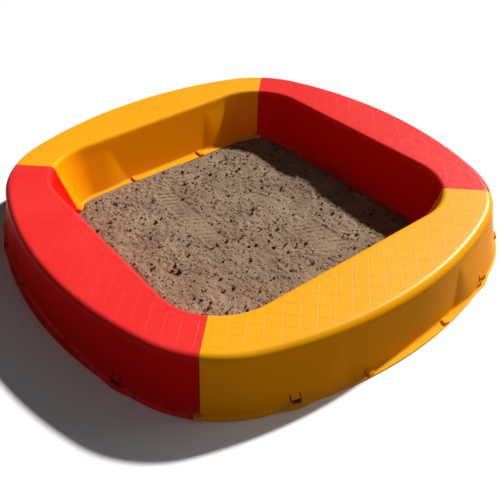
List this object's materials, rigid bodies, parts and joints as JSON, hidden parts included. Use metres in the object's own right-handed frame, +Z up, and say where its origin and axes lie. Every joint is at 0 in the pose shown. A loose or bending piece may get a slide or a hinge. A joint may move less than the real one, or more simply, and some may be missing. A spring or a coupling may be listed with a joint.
{
  "type": "sandbox",
  "caption": "Low square sandbox of plug-together moulded plastic seat walls in red and yellow, with bowed sides, rounded corners, hooks for a cover at the foot and a bed of sand.",
  "frame": {"origin": "centre of the base, on the ground", "axes": "+Z up, front wall towards -Y, left wall towards -X"},
  "size_m": [1.498, 1.498, 0.178],
  "materials": {
    "red_plastic": "satin",
    "yellow_plastic": "satin",
    "sand": "loose grains"
  },
  "bodies": {
    "root": {"front_wall": "yellow_plastic", "left_wall": "red_plastic", "back_wall": "yellow_plastic", "right_wall": "red_plastic", "front_brace_left": "yellow_plastic", "front_brace_right": "yellow_plastic", "left_brace_left": "red_plastic", "left_brace_right": "red_plastic", "back_brace_left": "yellow_plastic", "back_brace_right": "yellow_plastic", "right_brace_left": "red_plastic", "right_brace_right": "red_plastic", "front_left_clip": "yellow_plastic", "left_back_clip": "yellow_plastic", "back_right_clip": "yellow_plastic", "right_front_clip": "yellow_plastic", "front_left_inner_clip": "yellow_plastic", "left_back_inner_clip": "yellow_plastic", "back_right_inner_clip": "yellow_plastic", "right_front_inner_clip": "yellow_plastic", "sand_fill": "sand"}
  },
  "joints": []
}
